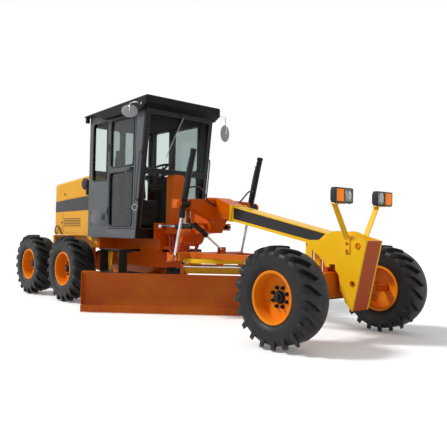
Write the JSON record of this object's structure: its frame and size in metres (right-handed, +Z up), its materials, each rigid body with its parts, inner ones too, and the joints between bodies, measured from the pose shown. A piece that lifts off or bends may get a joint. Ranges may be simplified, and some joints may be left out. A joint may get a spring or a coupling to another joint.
{
  "type": "motor grader",
  "caption": "Yellow articulated motor grader: cab on a tandem-wheel rear frame, arched front beam, angled blade hung from a turning circle.",
  "frame": {"origin": "on the ground under the middle of the parked machine's box", "axes": "+X forward towards the front wheels, +Y to the machine's left, +Z up"},
  "size_m": [6.98, 2.5064, 3.1041],
  "materials": {
    "machine_paint": "gloss",
    "dark_paint": "satin",
    "cab_grey": "satin",
    "tyre_rubber": "matte",
    "chrome_rod": "polished",
    "cab_glass": "clear",
    "lamp_glass": "gloss",
    "seat_fabric": "matte",
    "cast_metal": "rough",
    "worn_steel": "worn"
  },
  "bodies": {
    "rear_frame": {"boarding_steps": "dark_paint", "body_fittings": "dark_paint", "cab_floor": "cab_grey", "cab_frame": "cab_grey", "cab_glass": "cab_glass", "cab_roof": "dark_paint", "console": "dark_paint", "engine": "cast_metal", "exhaust_stack": "dark_paint", "hood": "machine_paint", "mirrors": "dark_paint", "radiator_grille": "dark_paint", "rear_frame": "machine_paint", "seat": "seat_fabric", "seat_base": "dark_paint", "tandem_axle": "machine_paint", "valve_tower": "machine_paint"},
    "front_frame": {"gooseneck": "machine_paint", "bolster": "machine_paint", "lamp_arms": "machine_paint", "front_lamps": "dark_paint", "lamp_lenses": "lamp_glass", "front_axle": "machine_paint", "steering_barrel": "dark_paint"},
    "knuckle_left": {"knuckle_left": "machine_paint"},
    "knuckle_right": {"knuckle_right": "machine_paint"},
    "tie_rod": {"tie_rod": "dark_paint"},
    "steering_rod": {"steering_rod": "chrome_rod"},
    "drawbar": {"drawbar": "machine_paint"},
    "circle": {"circle": "machine_paint", "side_shift_barrel": "dark_paint"},
    "blade": {"moldboard": "machine_paint", "cutting_edge": "worn_steel", "side_shift_rod": "chrome_rod"},
    "centre_shift_barrel": {"centre_shift_barrel": "dark_paint"},
    "centre_shift_rod": {"centre_shift_rod": "chrome_rod"},
    "lift_barrel_left": {"lift_barrel_left": "dark_paint"},
    "lift_rod_left": {"lift_rod_left": "chrome_rod"},
    "articulation_barrel_left": {"articulation_barrel_left": "dark_paint"},
    "articulation_rod_left": {"articulation_rod_left": "chrome_rod"},
    "door_left": {"door_glass_left": "cab_glass", "door_left": "cab_grey"},
    "lift_barrel_right": {"lift_barrel_right": "dark_paint"},
    "lift_rod_right": {"lift_rod_right": "chrome_rod"},
    "articulation_barrel_right": {"articulation_barrel_right": "dark_paint"},
    "articulation_rod_right": {"articulation_rod_right": "chrome_rod"},
    "door_right": {"door_glass_right": "cab_glass", "door_right": "cab_grey"},
    "wheel_front_left": {"tyre_front_left": "tyre_rubber", "rim_front_left": "machine_paint"},
    "wheel_front_right": {"tyre_front_right": "tyre_rubber", "rim_front_right": "machine_paint"},
    "wheel_middle_left": {"tyre_middle_left": "tyre_rubber", "rim_middle_left": "machine_paint"},
    "wheel_middle_right": {"tyre_middle_right": "tyre_rubber", "rim_middle_right": "machine_paint"},
    "wheel_rear_left": {"tyre_rear_left": "tyre_rubber", "rim_rear_left": "machine_paint"},
    "wheel_rear_right": {"tyre_rear_right": "tyre_rubber", "rim_rear_right": "machine_paint"}
  },
  "joints": [
    {"name": "articulation", "type": "hinge", "parent": "rear_frame", "child": "front_frame", "pos_m": [0.12, 0.13824, 1.02], "axis": [0, 0, 1], "range_deg": [-20, 20]},
    {"name": "steer_left", "type": "hinge", "parent": "front_frame", "child": "knuckle_left", "pos_m": [2.97, 0.79824, 0.52], "axis": [0, 0, 1], "range_deg": [-30, 30]},
    {"name": "steer_right", "type": "hinge", "parent": "front_frame", "child": "knuckle_right", "pos_m": [2.97, -0.52176, 0.52], "axis": [0, 0, 1], "range_deg": [-31, 31]},
    {"name": "tie_rod_turn", "type": "hinge", "parent": "knuckle_left", "child": "tie_rod", "pos_m": [2.78, 0.79824, 0.425], "axis": [0, 0, 1], "range_deg": [-31, 31]},
    {"name": "steering_rod_slide", "type": "slide", "parent": "front_frame", "child": "steering_rod", "axis": [0, -1, 0], "range_m": [-0.06691, 0.06691]},
    {"name": "roll_front_left", "type": "hinge", "parent": "knuckle_left", "child": "wheel_front_left", "pos_m": [2.97, 1.05824, 0.52], "axis": [0, 1, 0], "continuous": true},
    {"name": "roll_front_right", "type": "hinge", "parent": "knuckle_right", "child": "wheel_front_right", "pos_m": [2.97, -0.78176, 0.52], "axis": [0, 1, 0], "continuous": true},
    {"name": "roll_middle_left", "type": "hinge", "parent": "rear_frame", "child": "wheel_middle_left", "pos_m": [-1.63, 1.05824, 0.52], "axis": [0, 1, 0], "continuous": true},
    {"name": "roll_middle_right", "type": "hinge", "parent": "rear_frame", "child": "wheel_middle_right", "pos_m": [-1.63, -0.78176, 0.52], "axis": [0, 1, 0], "continuous": true},
    {"name": "roll_rear_left", "type": "hinge", "parent": "rear_frame", "child": "wheel_rear_left", "pos_m": [-2.97, 1.05824, 0.52], "axis": [0, 1, 0], "continuous": true},
    {"name": "roll_rear_right", "type": "hinge", "parent": "rear_frame", "child": "wheel_rear_right", "pos_m": [-2.97, -0.78176, 0.52], "axis": [0, 1, 0], "continuous": true},
    {"name": "drawbar_pitch", "type": "hinge", "parent": "front_frame", "child": "drawbar", "pos_m": [2.61, 0.13824, 0.74], "axis": [0, 1, 0], "range_deg": [0, 7]},
    {"name": "lift_barrel_turn_left", "type": "hinge", "parent": "front_frame", "child": "lift_barrel_left", "pos_m": [0.907, 0.74824, 1.52], "axis": [0, 1, 0], "range_deg": [-0.5, 4.61]},
    {"name": "lift_rod_slide_left", "type": "slide", "parent": "lift_barrel_left", "child": "lift_rod_left", "axis": [0.2514, 0, 0.9679], "range_m": [-0.005, 0.23155]},
    {"name": "lift_barrel_turn_right", "type": "hinge", "parent": "front_frame", "child": "lift_barrel_right", "pos_m": [0.907, -0.47176, 1.52], "axis": [0, 1, 0], "range_deg": [-0.5, 4.61]},
    {"name": "lift_rod_slide_right", "type": "slide", "parent": "lift_barrel_right", "child": "lift_rod_right", "axis": [0.2514, 0, 0.9679], "range_m": [-0.005, 0.23155]},
    {"name": "centre_shift_barrel_turn", "type": "hinge", "parent": "front_frame", "child": "centre_shift_barrel", "pos_m": [0.88, -0.34176, 1.3], "axis": [0.9482, -0.2746, -0.1596], "range_deg": [-0.5, 18.18]},
    {"name": "centre_shift_rod_slide", "type": "slide", "parent": "centre_shift_barrel", "child": "centre_shift_rod", "axis": [-0.1258, -0.786, 0.6052], "range_m": [-0.005, 0.09592]},
    {"name": "circle_turn", "type": "hinge", "parent": "drawbar", "child": "circle", "pos_m": [0.87, 0.13824, 0.735], "axis": [0, 0, -1], "range_deg": [-89, 10]},
    {"name": "blade_side_shift", "type": "slide", "parent": "circle", "child": "blade", "axis": [0.6997, 0.7145, 0], "range_m": [-0.12, 0.35]},
    {"name": "articulation_barrel_turn_left", "type": "hinge", "parent": "front_frame", "child": "articulation_barrel_left", "pos_m": [0.77, 0.43824, 1.225], "axis": [0, 0, 1], "range_deg": [-4.71, 4.71]},
    {"name": "articulation_rod_slide_left", "type": "slide", "parent": "articulation_barrel_left", "child": "articulation_rod_left", "axis": [-1, 0, 0], "range_m": [-0.10867, 0.10867]},
    {"name": "articulation_barrel_turn_right", "type": "hinge", "parent": "front_frame", "child": "articulation_barrel_right", "pos_m": [0.77, -0.16176, 1.225], "axis": [0, 0, 1], "range_deg": [-4.71, 4.71]},
    {"name": "articulation_rod_slide_right", "type": "slide", "parent": "articulation_barrel_right", "child": "articulation_rod_right", "axis": [-1, 0, 0], "range_m": [-0.10867, 0.10867]},
    {"name": "door_hinge_left", "type": "hinge", "parent": "rear_frame", "child": "door_left", "pos_m": [-1.047, 0.77024, 2], "axis": [0, 0, 1], "range_deg": [0, 100]},
    {"name": "door_hinge_right", "type": "hinge", "parent": "rear_frame", "child": "door_right", "pos_m": [-1.047, -0.49376, 2], "axis": [0, 0, -1], "range_deg": [0, 100]}
  ],
  "couplings": [
    {"joint": "steer_right", "follows": "steer_left", "ratio": 1},
    {"joint": "tie_rod_turn", "follows": "steer_left", "ratio": -1},
    {"joint": "steering_rod_slide", "follows": "steer_left", "m_per_rad": 0.12407},
    {"joint": "lift_barrel_turn_left", "follows": "drawbar_pitch", "ratio": 0.58712},
    {"joint": "lift_rod_slide_left", "follows": "drawbar_pitch", "m_per_rad": 1.8544},
    {"joint": "lift_barrel_turn_right", "follows": "drawbar_pitch", "ratio": 0.58712},
    {"joint": "lift_rod_slide_right", "follows": "drawbar_pitch", "m_per_rad": 1.8544},
    {"joint": "centre_shift_barrel_turn", "follows": "drawbar_pitch", "ratio": 2.5263},
    {"joint": "centre_shift_rod_slide", "follows": "drawbar_pitch", "m_per_rad": 0.74423},
    {"joint": "articulation_barrel_turn_left", "follows": "articulation", "ratio": -0.21027},
    {"joint": "articulation_rod_slide_left", "follows": "articulation", "m_per_rad": -0.29698},
    {"joint": "articulation_barrel_turn_right", "follows": "articulation", "ratio": -0.21027},
    {"joint": "articulation_rod_slide_right", "follows": "articulation", "m_per_rad": 0.29698}
  ]
}
